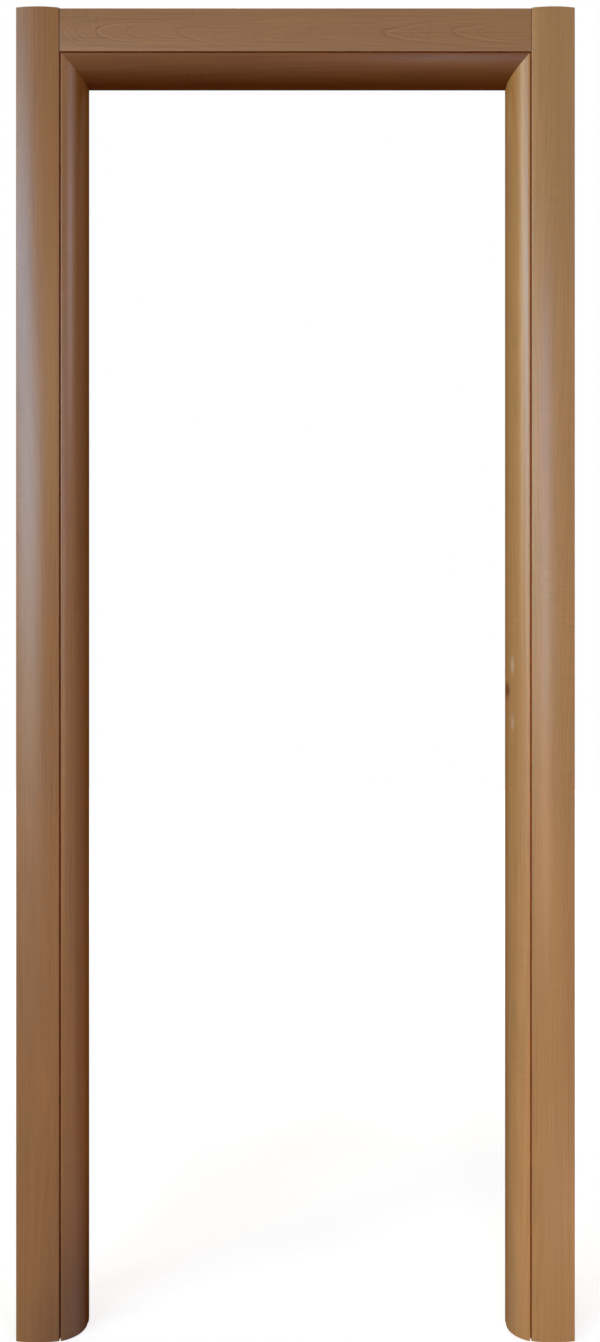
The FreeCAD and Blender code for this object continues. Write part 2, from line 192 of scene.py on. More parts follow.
def leave_raw(bm, is_raw):
    """Gives the faces that carry no veneer the second material."""
    for face in bm.faces:
        centre = face.calc_center_median()
        across = abs(face.normal.z) > 0.5
        if across or is_raw(centre.x, centre.y):
            face.material_index = 1


def finished(bm, name, place, finishes):
    """Puts a member in its place and makes it an object with its finishes."""
    bmesh.ops.transform(bm, matrix=place, verts=bm.verts[:])
    bmesh.ops.recalc_face_normals(bm, faces=bm.faces[:])
    mesh = bpy.data.meshes.new(name)
    bm.to_mesh(mesh)
    bm.free()
    for finish in finishes:
        mesh.materials.append(finish)
    piece = bpy.data.objects.new(name, mesh)
    bpy.context.scene.collection.objects.link(piece)
    return piece


def smooth(piece, angle=math.radians(28)):
    piece.data.polygons.foreach_set("use_smooth", [True] * len(piece.data.polygons))
    piece.data.set_sharp_from_angle(angle=angle)


def bored(piece, tools):
    """Takes the tools' shapes out of a piece for good, then throws the tools away."""
    for tool in tools:
        cut = piece.modifiers.new("bore", "BOOLEAN")
        cut.operation = "DIFFERENCE"
        cut.solver = "EXACT"
        cut.object = tool
    graph = bpy.context.evaluated_depsgraph_get()
    mesh = bpy.data.meshes.new_from_object(piece.evaluated_get(graph))
    piece.modifiers.clear()
    mesh.name = piece.name
    piece.data = mesh
    for tool in tools:
        bpy.data.objects.remove(tool)


def stands_for(piece, node):
    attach(piece, "root")
    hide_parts(node)


# Lining


def lining(low, high):
    """The lining's section run out: land, quarter round nose, reveal, stop, rebate and kerfs."""
    seal_low, seal_high, seal_depth = SEAL_KERF
    front_kerf = (front_inner - KERF_CLEARANCE, front_inner + TONGUE + KERF_CLEARANCE)
    rear_kerf = (rear_inner - KERF_CLEARANCE, rear_inner + TONGUE + KERF_CLEARANCE)
    section = Section(FACE_WIDTH, 0)
    section.line(FACE_WIDTH - LAND_WIDTH, 0)
    section.round(NOSE_RADIUS, nose_depth, -math.asin(nose_depth / NOSE_RADIUS), NOSE_STEPS)
    section.lines(
        (0, REVEAL_DEPTH),
        (seal_low, REVEAL_DEPTH),
        (seal_low, REVEAL_DEPTH - seal_depth),
        (seal_high, REVEAL_DEPTH - seal_depth),
        (seal_high, REVEAL_DEPTH),
        (REBATE_STEP, REVEAL_DEPTH),
        (REBATE_STEP, lining_depth),
        (rear_kerf[0], lining_depth),
        (rear_kerf[0], REAR_KERF_BOTTOM),
        (rear_kerf[1], REAR_KERF_BOTTOM),
        (rear_kerf[1], lining_depth),
        (lining_thickness, lining_depth),
        (lining_thickness, WALL_FRONT),
        (front_kerf[1], WALL_FRONT),
        (front_kerf[1], FRONT_KERF_BOTTOM),
        (front_kerf[0], FRONT_KERF_BOTTOM),
        (front_kerf[0], GROOVE_DEPTH),
        (FACE_WIDTH, GROOVE_DEPTH),
    )
    bm = section.run_out(low, high)
    ease(bm, FACE_WIDTH, 0, *LAND_EASE)
    ease(bm, 0, REVEAL_DEPTH, *STOP_EASE)
    ease(bm, REBATE_STEP, lining_depth, *REBATE_EASE)
    ease_the_rest(bm)

    def is_raw(a, d):
        below_stop = REVEAL_DEPTH - d
        in_seal_kerf = (
            seal_low - ARRIS < a < seal_high + ARRIS and 0 < below_stop < seal_depth + ARRIS
        )
        outside = a > front_kerf[0] - ARRIS and d > GROOVE_DEPTH + ARRIS
        behind = d > lining_depth - ARRIS and a < rear_kerf[0] - ARRIS
        return in_seal_kerf or (outside and not behind)

    leave_raw(bm, is_raw)
    return bm


def leg(name, node, place, finishes, tools):
    bm = lining(0, clear_height + lining_thickness)
    mitre(bm, clear_height)
    piece = finished(bm, name, place, finishes)
    bored(piece, tools)
    smooth(piece)
    stands_for(piece, node)


def lining_head(name, node, finishes):
    bm = lining(-reveal - lining_thickness, reveal + lining_thickness)
    mitre(bm, reveal)
    other_mitre(bm, reveal)
    piece = finished(bm, name, OVERHEAD, finishes)
    smooth(piece)
    stands_for(piece, node)


# Tools that bore the legs, made in the doorway's own places

FIXING_HEIGHTS = (120 * MM, 740 * MM, 1360 * MM, 1980 * MM)
FIXING_PLACE = land_plane + 76.5 * MM
FIXING_RADIUS = 2.75 * MM
SINK_RADIUS = 5.5 * MM
BIT_LENGTH = 60 * MM
BIT_START = 5 * MM
BIT_SIDES = 32
KEEP_SLOTS = ((30 * MM, 1084 * MM), (46 * MM, 1024 * MM))
KEEP_SLOT_WIDTH = 12 * MM
KEEP_POCKET_DEPTH = 15 * MM
KEEP_POCKET_FIT = 0.5 * MM
KEEP_POCKET_CORNER = 2 * MM
KEEP_BED_FIT = 0.3 * MM
KEEP_CORNER = 7 * MM


def tool_object(bm, name):
    """Makes a tool an object whose faces carry the raw wood, as the faces that it cuts will."""
    bmesh.ops.recalc_face_normals(bm, faces=bm.faces[:])
    for face in bm.faces:
        face.material_index = 1
    mesh = bpy.data.meshes.new(name)
    bm.to_mesh(mesh)
    bm.free()
    for finish in (cherry["leg_right"], blockboard):
        mesh.materials.append(finish)
    tool = bpy.data.objects.new(name, mesh)
    bpy.context.scene.collection.objects.link(tool)
    return tool


def fixing_tools(side):
    """Countersunk holes from the rebate's wall out through the leg, four of them."""
    tools = []
    wall = reveal + REBATE_STEP
    for height in FIXING_HEIGHTS:
        bm = bmesh.new()
        outward = Matrix.Rotation(side * math.pi / 2, 4, "Y")
        middle = Matrix.Translation((side * (wall + BIT_LENGTH / 2 - BIT_START), FIXING_PLACE, height))
        bmesh.ops.create_cone(
            bm, cap_ends=True, segments=BIT_SIDES, radius1=FIXING_RADIUS, radius2=FIXING_RADIUS,
            depth=BIT_LENGTH, matrix=middle @ outward,
        )
        tools.append(tool_object(bm, "fixing bit"))
        bm = bmesh.new()
        sink = 2 * (SINK_RADIUS - FIXING_RADIUS)
        middle = Matrix.Translation((side * wall, FIXING_PLACE, height))
        bmesh.ops.create_cone(
            bm, cap_ends=True, segments=BIT_SIDES, radius1=2 * SINK_RADIUS - FIXING_RADIUS,
            radius2=FIXING_RADIUS, depth=sink, matrix=middle @ outward,
        )
        tools.append(tool_object(bm, "countersink"))
    return tools


def slot_tool(length, width, corner, depth, height):
    """A block with rounded corners, sunk into the right leg's rebate wall."""
    bm = bmesh.new()
    proud = 2 * MM
    bmesh.ops.create_cube(bm, size=1)
    bmesh.ops.scale(bm, verts=bm.verts[:], vec=(depth + proud, width, length))
    across = [e for e in bm.edges if abs(e.verts[0].co.x - e.verts[1].co.x) > depth / 2]
    bmesh.ops.bevel(
        bm, geom=across, offset=corner, segments=8, profile=0.5, affect="EDGES", material=-1
    )
    middle = (keep_low.x + (depth - proud) / 2, (keep_low.y + keep_high.y) / 2, height)
    bmesh.ops.translate(bm, verts=bm.verts[:], vec=middle)
    return tool_object(bm, "router bit")


def keep_tools():
    length = keep_high.z - keep_low.z + KEEP_BED_FIT
    width = keep_high.y - keep_low.y + KEEP_BED_FIT
    bed = (length, width, KEEP_CORNER, keep_high.x - keep_low.x)
    tools = [slot_tool(*bed, (keep_low.z + keep_high.z) / 2)]
    for length, centre in KEEP_SLOTS:
        spare = 2 * KEEP_POCKET_FIT
        pocket = (length + spare, KEEP_SLOT_WIDTH + spare, KEEP_POCKET_CORNER, KEEP_POCKET_DEPTH)
        tools.append(slot_tool(*pocket, centre))
    return tools


# Casings


def casing_section(inner, outer, back, out, thickness, crown):
    """A casing's section: out is the way its face looks, and crown is the rise of its dome."""
    face = back + out * thickness
    middle = (inner + outer) / 2
    low = inner + RELIEF_MARGINS[0]
    high = outer - RELIEF_MARGINS[1]
    relief = back + out * RELIEF_DEPTH
    section = Section(inner, back)
    section.line(inner, face)
    if crown:
        half = (outer - inner) / 2
        radius = (half**2 + crown**2) / (2 * crown)
        sweep = -out * 2 * math.asin(half / radius)
        section.round(middle, face + out * (crown - radius), sweep, DOME_STEPS)
    else:
        section.line(outer, face)
    section.lines(
        (outer, back),
        (high, back),
        (high - RELIEF_DEPTH, relief),
        (low + RELIEF_DEPTH, relief),
        (low, back),
    )
    return section


def add_tongue(bm, inner, back, tip, low, high):
    """The strip along the inner edge that runs into the lining's kerf."""
    made = bmesh.ops.create_cube(bm, size=1)["verts"]
    bmesh.ops.scale(bm, verts=made, vec=(TONGUE, abs(tip - back), high - low))
    middle = (inner + TONGUE / 2, (back + tip) / 2, (low + high) / 2)
    bmesh.ops.translate(bm, verts=made, vec=middle)


def casing(name, node, place, finishes, size, span, tongue_span, inner_ease):
    inner, outer, back, out, thickness, crown, tip = size
    face = back + out * thickness
    bm = casing_section(inner, outer, back, out, thickness, crown).run_out(*span)
    ease(bm, inner, face, *inner_ease)
    ease(bm, outer, face, *OUTER_EASE)
    ease_the_rest(bm)
    add_tongue(bm, inner, back, tip, *tongue_span)

    def is_raw(a, d):
        rise = (d - back) * out
        return rise < 0 or (rise < RELIEF_DEPTH + ARRIS and inner + ARRIS < a < outer - ARRIS)

    leave_raw(bm, is_raw)
    piece = finished(bm, name, place, finishes)
    smooth(piece)
    stands_for(piece, node)


def casing_set(side_name, size, head_half):
    """Two domed side casings and the flat one butted between them."""
    inner, outer, back, out, tip = size
    domed = (inner, outer, back, out, CASING_EDGE, CASING_CROWN, tip)
    flat = (inner, outer, back, out, CASING_EDGE - HEAD_SETBACK, 0, tip)
    span = (0, clear_height + outer)
    tongue_span = (0, clear_height + inner + TONGUE)
    for side, place in (("left", LEFT), ("right", RIGHT)):
        finishes = (cherry[side_name + "_" + side], fibreboard)
        name = side_name + "_casing_" + side
        casing(name + "_veneered", name, place, finishes, domed, span, tongue_span, DOMED_INNER_EASE)
    finishes = (cherry[side_name + "_head"], fibreboard)
    name = side_name + "_casing_head"
    span = (-head_half, head_half)
    casing(name + "_veneered", name, OVERHEAD, finishes, flat, span, span, FLAT_INNER_EASE)


# Finishes

# The camera's eye, found from the outline in the photograph; the finishes and lamps use its height
EYE_SIDE = 0.0897
EYE_DISTANCE = 1.979
EYE_HEIGHT = 1.1698
MIDDLE = (0.0, 0.0, EYE_HEIGHT)


def linear(code):
    """A colour written as sRGB hex, turned to the linear values that a shader takes."""
    parts = [int(code[i : i + 2], 16) / 255 for i in (1, 3, 5)]
    return tuple(p / 12.92 if p <= 0.04045 else ((p + 0.055) / 1.055) ** 2.4 for p in parts) + (1.0,)


def put(tree, kind, inputs=None, **settings):
    """Adds a shader node with its settings; an input is a value or another node's output."""
    node = tree.nodes.new("ShaderNode" + kind)
    for name, value in settings.items():
        setattr(node, name, value)
    for socket, value in (inputs or {}).items():
        if isinstance(value, bpy.types.NodeSocket):
            tree.links.new(value, node.inputs[socket])
        else:
            node.inputs[socket].default_value = value
    return node


def new_finish(name):
    finish = bpy.data.materials.new(name)
    finish.use_nodes = True
    tree = finish.node_tree
    tree.nodes.clear()
    output = put(tree, "OutputMaterial")
    return finish, tree, output


def figure(tree, where, width, length, seed, detail=2.0):
    """Soft cloudy figure of a real size: width across the grain, length along it, in metres."""
    size = put(
        tree, "VectorMath", {0: where, 1: (1 / width, 1 / width, 1 / length)}, operation="MULTIPLY"
    )
    shifted = put(
        tree, "VectorMath", {0: size.outputs[0], 1: (seed, 1.7 * seed, 2.3 * seed)}, operation="ADD"
    )
    cloud = put(
        tree, "TexNoise",
        {"Vector": shifted.outputs[0], "Scale": 1.0, "Detail": detail, "Roughness": 0.5},
    )
    return cloud.outputs["Fac"]


def spot(tree, where, centre, radii):
    """A soft mark: one at its centre, nothing at its radii."""
    away = put(tree, "VectorMath", {0: where, 1: centre}, operation="SUBTRACT")
    scaled = put(tree, "VectorMath", {0: away.outputs[0], 1: radii}, operation="DIVIDE")
    length = put(tree, "VectorMath", {0: scaled.outputs[0]}, operation="LENGTH")
    fade = put(
        tree, "MapRange",
        {"Value": length.outputs["Value"], "From Min": 1.0, "From Max": 0.1,
         "To Min": 0.0, "To Max": 1.0},
        interpolation_type="SMOOTHSTEP",
    )
    return fade.outputs["Result"]


def grade(ramp, stops, interpolation="LINEAR"):
    """Sets a ramp's stops from pairs of position and grey level or colour."""
    ramp.interpolation = interpolation
    while len(ramp.elements) < len(stops):
        ramp.elements.new(0.5)
    for element, (position, level) in zip(ramp.elements, stops):
        element.position = position
        element.color = level if isinstance(level, tuple) else (level, level, level, 1)


# How much darker and lighter than its own middle tone a leaf of veneer gets
DARKEST = 0.55
LIGHTEST = 1.5
# The share of the figure that each kind of marking has
TONE_SHARE = 0.4
STREAK_SHARE = 0.2
THREAD_SHARE = 0.16
RIPPLE_SHARE = 0.3
LACQUER_ROUGHNESS = (0.26, 0.32)
# How far from the reveal the lining's shine takes to come back
MATT_WIDTH = 16 * MM
# A dark brown for the darkening marks and the painted shade
DARKENING_TONE = "#4a220c"
# A pale tone for the painted reflections of the handle on the right leg
PALE_REFLECTION_TONE = "#d9c7b4"
# A warm light tone for the painted bounced light in the groove
GROOVE_BOUNCE_TONE = "#e0783c"

# The head casing's growth lines: where each turns back, in millimetres from the board's left end,
# with its strength; the height of the turns, and a sag where the lines dip together
RING_WIDTH = 7 * MM
RING_DRIFT = 22.0
RING_SHARE = 0.15
LINE_WIDTH = 1.5 * MM
RING_TURNS = (
    (9, 0.25), (22, 0.3), (34, 0.35), (47, 0.2), (67, 0.6), (89, 0.2), (118, 0.3), (154, 0.2),
    (201, 0.45), (262, 0.2), (330, 0.25), (420, 0.25), (544, 0.6), (590, 0.2), (658, 0.55), (700, 0.25),
)
TURN_HEIGHT = (front_head_low.z + front_head_high.z) / 2 - 4 * MM
SAG_PLACE = -95 * MM
SAG_REACH = 110 * MM
SAG_DEPTH = 8 * MM
# How far the lines sway up and down, and how far they waver sideways
SWAY = 10 * MM
WAVER = 9 * MM
# The share of a line's ramp, from before its dark side to after its light one, that LINE_WIDTH takes
LINE_BAND = 0.05
# How fast a line's arms above and below its turn run off to the right as they rise and fall: at
# the first of these places along the board, and from the second on
ARMS_PLACES = (-0.37, -0.2)
ARMS_ABOVE = (120.0, 450.0)
ARMS_BELOW = (55.0, 270.0)
# The lines fade where they run straight, between these slopes, down to this share
STRAIGHT = (1.2, 8.0)
STRAIGHT_SHARE = 0.12


def straight_rings(tree, where, seed):
    """Growth lines of a quarter sawn leaf: long lines that follow the grain and drift a little."""
    split = put(tree, "SeparateXYZ", {"Vector": where})
    across = put(tree, "Math", {0: split.outputs["X"], 1: split.outputs["Y"]}, operation="ADD")
    counted = put(tree, "Math", {0: across.outputs[0], 1: 1 / RING_WIDTH}, operation="MULTIPLY")
    drift = figure(tree, where, 90 * MM, 1100 * MM, seed, 1.5)
    field = put(
        tree, "Math", {0: drift, 1: RING_DRIFT, 2: counted.outputs[0]}, operation="MULTIPLY_ADD"
    )
    step = put(tree, "Math", {0: field.outputs[0]}, operation="FRACT")
    ring = put(tree, "ValToRGB", {"Fac": step.outputs[0]})
    grade(ring.color_ramp, ((0.0, 0.5), (0.12, 0.72), (0.5, 0.5), (0.86, 0.05), (1.0, 0.5)), "EASE")
    return ring.outputs["Color"]


def turned_rings(tree, place, where, seed):
    """Growth lines of a crown cut leaf: each comes in along the top of the board, turns back and
    runs out low, dark on its outer side with a light line inside it."""
    split = put(tree, "SeparateXYZ", {"Vector": place})
    x = split.outputs["X"]
    sag = spot(tree, place, (SAG_PLACE, 0, TURN_HEIGHT), (SAG_REACH, 1.0, 1.0))
    sunk = put(tree, "Math", {0: sag, 1: SAG_DEPTH, 2: split.outputs["Z"]}, operation="MULTIPLY_ADD")
    sway = figure(tree, where, 60 * MM, 130 * MM, seed + 3, 2.0)
    swayed = put(tree, "Math", {0: sway, 1: SWAY, 2: sunk.outputs[0]}, operation="MULTIPLY_ADD")
    rise = put(
        tree, "Math", {0: swayed.outputs[0], 1: TURN_HEIGHT + SWAY / 2}, operation="SUBTRACT"
    ).outputs[0]
    above = put(tree, "Math", {0: rise, 1: 0.0}, operation="MAXIMUM").outputs[0]
    below = put(tree, "Math", {0: rise, 1: 0.0}, operation="MINIMUM").outputs[0]
    waver = figure(tree, where, 25 * MM, 70 * MM, seed + 5)
    field = put(tree, "Math", {0: waver, 1: WAVER, 2: x}, operation="MULTIPLY_ADD").outputs[0]
    slope = None
    for side, (at_left, farther_right) in ((above, ARMS_ABOVE), (below, ARMS_BELOW)):
        spread = put(
            tree, "MapRange",
            {"Value": x, "From Min": ARMS_PLACES[0], "From Max": ARMS_PLACES[1],
             "To Min": at_left, "To Max": farther_right},
        )
        steep = put(tree, "Math", {0: side, 1: spread.outputs["Result"]}, operation="MULTIPLY")
        run = put(tree, "Math", {0: steep.outputs[0], 1: side}, operation="MULTIPLY")
        field = put(tree, "Math", {0: field, 1: run.outputs[0]}, operation="SUBTRACT").outputs[0]
        steepness = put(tree, "Math", {0: steep.outputs[0]}, operation="ABSOLUTE").outputs[0]
        slope = steepness if slope is None else put(tree, "Math", {0: slope, 1: steepness}).outputs[0]
    stretch = put(tree, "Math", {0: slope, 1: slope, 2: 0.25}, operation="MULTIPLY_ADD")
    length = put(tree, "Math", {0: stretch.outputs[0], 1: 0.5}, operation="POWER")
    thin = put(
        tree, "Math", {0: LINE_BAND / LINE_WIDTH, 1: length.outputs[0]}, operation="DIVIDE"
    ).outputs[0]

    total = None
    for turn, strength in RING_TURNS:
        off = put(tree, "Math", {0: field, 1: front_head_low.x + turn * MM}, operation="SUBTRACT")
        phase = put(tree, "Math", {0: off.outputs[0], 1: thin, 2: 0.5}, operation="MULTIPLY_ADD")
        line = put(tree, "ValToRGB", {"Fac": phase.outputs[0]})
        grade(line.color_ramp, ((0.2, 0.5), (0.43, 0.0), (0.57, 1.0), (0.8, 0.5)), "EASE")
        total = put(
            tree, "Math", {0: line.outputs["Color"], 1: strength, 2: total or 0.0},
            operation="MULTIPLY_ADD",
        ).outputs[0]
    whole = sum(strength for turn, strength in RING_TURNS)
    centred = put(tree, "Math", {0: total, 1: -whole / 2}, operation="ADD").outputs[0]
    fade = put(
        tree, "MapRange",
        {"Value": slope, "From Min": STRAIGHT[0], "From Max": STRAIGHT[1],
         "To Min": 1.0, "To Max": STRAIGHT_SHARE},
    )
    level = put(
        tree, "Math", {0: centred, 1: fade.outputs["Result"], 2: 0.5}, operation="MULTIPLY_ADD"
    ).outputs[0]

    # Between the lines the fine streaks bend round with them where they turn
    bent_place = put(tree, "CombineXYZ", {"X": field, "Y": seed})
    bent = figure(tree, bent_place.outputs[0], 4 * MM, 1.0, seed, 3.0)
    return level, bent, slope


def shade(code, factor):
    return tuple(channel * factor for channel in linear(code)[:3]) + (1.0,)


def cherry_veneer(name, seed, tone_code, overhead=False, crown_cut=False, matt_from=None, marks=()):
    """Cherry veneer, sliced thin, sanded and sealed with satin lacquer: fine straight streaks, a
    few long growth lines, short cross ripples that catch the light, and a soft broad sheen. The
    lining's shine is turned down to nothing at the reveal, where the photograph shows no glint."""
    finish, tree, output = new_finish(name)
    place = put(tree, "TexCoord").outputs["Object"]
    turn = (0, math.pi / 2, 0) if overhead else (0, 0, 0)
    where = put(tree, "Mapping", {"Vector": place, "Rotation": turn}).outputs[0]

    tone = figure(tree, where, 45 * MM, 500 * MM, seed + 11)
    streaks = figure(tree, where, 1.7 * MM, 190 * MM, seed + 23, 3.0)
    threads = figure(tree, where, 4.5 * MM, 260 * MM, seed + 31)
    if crown_cut:
        rings, bent, slope = turned_rings(tree, place, where, seed)
        straight = put(tree, "MapRange", {"Value": slope, "From Min": 1.0, "From Max": 6.0})
        mixed = put(tree, "Mix", {"Factor": straight.outputs["Result"], "A": bent, "B": threads})
        threads = mixed.outputs["Result"]
        ring_share = 1.0
    else:
        rings = straight_rings(tree, where, seed)
        ring_share = RING_SHARE

    # Short ripples across the grain, in patches
    ripple = figure(tree, where, 26 * MM, 4.5 * MM, seed + 41)
    patch = figure(tree, where, 55 * MM, 120 * MM, seed + 53, 1.0)
    patch_edge = put(
        tree, "MapRange",
        {"Value": patch, "From Min": 0.52, "From Max": 0.68, "To Min": 0.1, "To Max": 1.0},
    )
    ripple_centred = put(tree, "Math", {0: ripple, 1: -0.5}, operation="ADD")
    ripple_masked = put(
        tree, "Math", {0: ripple_centred.outputs[0], 1: patch_edge.outputs["Result"], 2: 0.5},
        operation="MULTIPLY_ADD",
    )

    # Each figure moves the tone up or down by its own small share
    total = 0.5
    for figure_out, share in (
        (tone, TONE_SHARE), (streaks, STREAK_SHARE), (threads, THREAD_SHARE),
        (ripple_masked.outputs[0], RIPPLE_SHARE), (rings, ring_share),
    ):
        centred = put(tree, "Math", {0: figure_out, 1: -0.5}, operation="ADD")
        weighed = put(
            tree, "Math", {0: centred.outputs[0], 1: share, 2: total}, operation="MULTIPLY_ADD"
        )
        total = weighed.outputs[0]
    ramp = put(tree, "ValToRGB", {"Fac": total})
    darkest, lightest = shade(tone_code, DARKEST), shade(tone_code, LIGHTEST)
    grade(ramp.color_ramp, ((0.0, darkest), (0.5, linear(tone_code)), (1.0, lightest)))
    colour = ramp.outputs["Color"]

    for centre, radii, code, strength in marks:
        mark = spot(tree, place, centre, radii)
        weight = put(tree, "Math", {0: mark, 1: strength}, operation="MULTIPLY")
        mixed = put(
            tree, "Mix", {"Factor": weight.outputs[0], "A": colour, "B": linear(code)},
            data_type="RGBA",
        )
        colour = mixed.outputs["Result"]

    rough = put(
        tree, "MapRange",
        {"Value": streaks, "From Min": 0.3, "From Max": 0.7,
         "To Min": LACQUER_ROUGHNESS[0], "To Max": LACQUER_ROUGHNESS[1]},
    )
    relief = put(tree, "Bump", {"Height": streaks, "Strength": 0.06, "Distance": 0.2 * MM})
    surface = put(
        tree, "BsdfPrincipled",
        {"Base Color": colour, "Roughness": rough.outputs["Result"], "IOR": 1.5,
         "Normal": relief.outputs[0]},
    )
    if matt_from:
        axis, start, full_shine = matt_from
        place_parts = put(tree, "SeparateXYZ", {"Vector": place})
        reach = put(tree, "Math", {0: place_parts.outputs[axis]}, operation="ABSOLUTE")
        shine = put(
            tree, "MapRange",
            {"Value": reach.outputs[0], "From Min": start, "From Max": start + MATT_WIDTH,
             "To Min": 0.0, "To Max": full_shine},
            interpolation_type="SMOOTHSTEP",
        )
        tree.links.new(shine.outputs["Result"], surface.inputs["Specular IOR Level"])
    tree.links.new(surface.outputs[0], output.inputs["Surface"])
    return finish


def raw_fibreboard():
    """Medium density fibreboard, sawn and left bare: fawn, matt, with short tangled fibres."""
    finish, tree, output = new_finish("raw fibreboard")
    place = put(tree, "TexCoord").outputs["Object"]
    fibre = figure(tree, place, 1.2 * MM, 1.2 * MM, 3.0, 4.0)
    cloud = figure(tree, place, 40 * MM, 40 * MM, 7.0, 2.0)
    blend = put(tree, "Math", {0: fibre, 1: 0.6, 2: 0.0}, operation="MULTIPLY_ADD")
    blend = put(tree, "Math", {0: cloud, 1: 0.4, 2: blend.outputs[0]}, operation="MULTIPLY_ADD")
    ramp = put(tree, "ValToRGB", {"Fac": blend.outputs[0]})
    grade(ramp.color_ramp, ((0.3, linear("#8d7250")), (0.7, linear("#b39873"))))
    relief = put(tree, "Bump", {"Height": fibre, "Strength": 0.15, "Distance": 0.3 * MM})
    surface = put(
        tree, "BsdfPrincipled",
        {"Base Color": ramp.outputs["Color"], "Roughness": 0.85, "IOR": 1.45,
         "Normal": relief.outputs[0]},
    )
    tree.links.new(surface.outputs[0], output.inputs["Surface"])
    return finish


def raw_blockboard():
    """Blockboard of poplar strips, planed and left bare: pale strips of differing tone."""
    finish, tree, output = new_finish("raw poplar blockboard")
    place = put(tree, "TexCoord").outputs["Object"]
    # Strips lie along the piece, which is upright for a leg and level for the head
    along_strips = put(tree, "Mapping", {"Vector": place, "Scale": (0.06, 1.0, 0.06)}).outputs[0]
    strip = put(
        tree, "TexVoronoi",
        {"Vector": along_strips, "Scale": 1 / (24 * MM), "Randomness": 0.2}, distance="CHEBYCHEV",
    )
    bands = figure(tree, place, 2.2 * MM, 90 * MM, 5.0, 3.0)
    parts = put(tree, "SeparateColor", {"Color": strip.outputs["Color"]})
    blend = put(tree, "Math", {0: parts.outputs[0], 1: 0.3, 2: 0.35}, operation="MULTIPLY_ADD")
    blend = put(tree, "Math", {0: bands, 1: 0.5, 2: blend.outputs[0]}, operation="MULTIPLY_ADD")
    ramp = put(tree, "ValToRGB", {"Fac": blend.outputs[0]})
    grade(ramp.color_ramp, ((0.3, linear("#b59b78")), (0.95, linear("#dfcaa8"))))
    surface = put(
        tree, "BsdfPrincipled", {"Base Color": ramp.outputs["Color"], "Roughness": 0.7, "IOR": 1.45}
    )
    tree.links.new(surface.outputs[0], output.inputs["Surface"])
    return finish


def plain_metal(name, code, roughness, turn=(0, 0, 0)):
    """Plated steel or turned brass: the colour of the plating, with fine tool lines."""
    finish, tree, output = new_finish(name)
    place = put(tree, "TexCoord").outputs["Object"]
    where = put(tree, "Mapping", {"Vector": place, "Rotation": turn}).outputs[0]
    lines = figure(tree, where, 0.5 * MM, 30 * MM, 2.0, 3.0)
    cloud = figure(tree, place, 12 * MM, 12 * MM, 9.0, 2.0)
    rough = put(
        tree, "MapRange",
        {"Value": lines, "From Min": 0.3, "From Max": 0.7,
         "To Min": roughness - 0.06, "To Max": roughness + 0.08},
    )
    tint = put(
        tree, "MapRange",
        {"Value": cloud, "From Min": 0.3, "From Max": 0.7, "To Min": 0.88, "To Max": 1.0},
    )
    colour = put(
        tree, "VectorMath", {0: linear(code)[:3], "Scale": tint.outputs["Result"]}, operation="SCALE"
    )
    relief = put(tree, "Bump", {"Height": lines, "Strength": 0.05, "Distance": 0.05 * MM})
    surface = put(
        tree, "BsdfPrincipled",
        {
            "Base Color": colour.outputs[0],
            "Metallic": 1.0,
            "Roughness": rough.outputs["Result"],
            "Normal": relief.outputs[0],
        },
    )
    tree.links.new(surface.outputs[0], output.inputs["Surface"])
    return finish


def soft_seal():
    """Co-extruded thermoplastic seal: dark brown, dull, faintly dusty."""
    finish, tree, output = new_finish("brown thermoplastic seal")
    place = put(tree, "TexCoord").outputs["Object"]
    dust = figure(tree, place, 6 * MM, 80 * MM, 4.0, 3.0)
    ramp = put(tree, "ValToRGB", {"Fac": dust})
    grade(ramp.color_ramp, ((0.35, linear("#24150c")), (0.75, linear("#3a2617"))))
    surface = put(
        tree, "BsdfPrincipled", {"Base Color": ramp.outputs["Color"], "Roughness": 0.6, "IOR": 1.5}
    )
    tree.links.new(surface.outputs[0], output.inputs["Surface"])
    return finish


def beech():
    """Beech dowel: pinkish, turned, with short dark flecks."""
    finish, tree, output = new_finish("turned beech")
    place = put(tree, "TexCoord").outputs["Object"]
    fleck = figure(tree, place, 0.8 * MM, 4 * MM, 6.0, 3.0)
    ramp = put(tree, "ValToRGB", {"Fac": fleck})
    grade(ramp.color_ramp, ((0.35, linear("#a87b52")), (0.6, linear("#cfa57a"))))
    surface = put(
        tree, "BsdfPrincipled", {"Base Color": ramp.outputs["Color"], "Roughness": 0.6, "IOR": 1.5}
    )
    tree.links.new(surface.outputs[0], output.inputs["Surface"])
    return finish


# Painted on the right leg at latch height: a dark patch at the reveal, the painted shadow of the door's
# handle, and two pale streaks, painted reflections of it
handle_shadow_and_reflections = (
    ((reveal + 1 * MM, land_plane + 40 * MM, 1076 * MM), (8 * MM, 26 * MM, 21 * MM), "#7a3c18", 0.9),
    ((reveal + 6.5 * MM, land_plane + 18 * MM, 1119 * MM), (5 * MM, 10 * MM, 24 * MM), PALE_REFLECTION_TONE, 0.4),
    ((reveal + 6.5 * MM, land_plane + 18 * MM, 1023 * MM), (4.5 * MM, 10 * MM, 21 * MM), PALE_REFLECTION_TONE, 0.32),
)

# The groove's walls are painted a warmer, lighter tone: painted bounced light, so that they come out
# red-brown in their shade
groove = reveal + (FACE_WIDTH + front_inner) / 2
groove_middle = land_plane + 7 * MM
groove_painted_bounce = tuple(
    ((side * groove, groove_middle, EYE_HEIGHT), (3 * MM, 7 * MM, 4.0), GROOVE_BOUNCE_TONE, 1.0)
    for side in (-1, 1)
)
head_groove_painted_bounce = (
    ((0, groove_middle, groove - reveal + clear_height), (4.0, 7 * MM, 3 * MM), GROOVE_BOUNCE_TONE, 1.0),
)

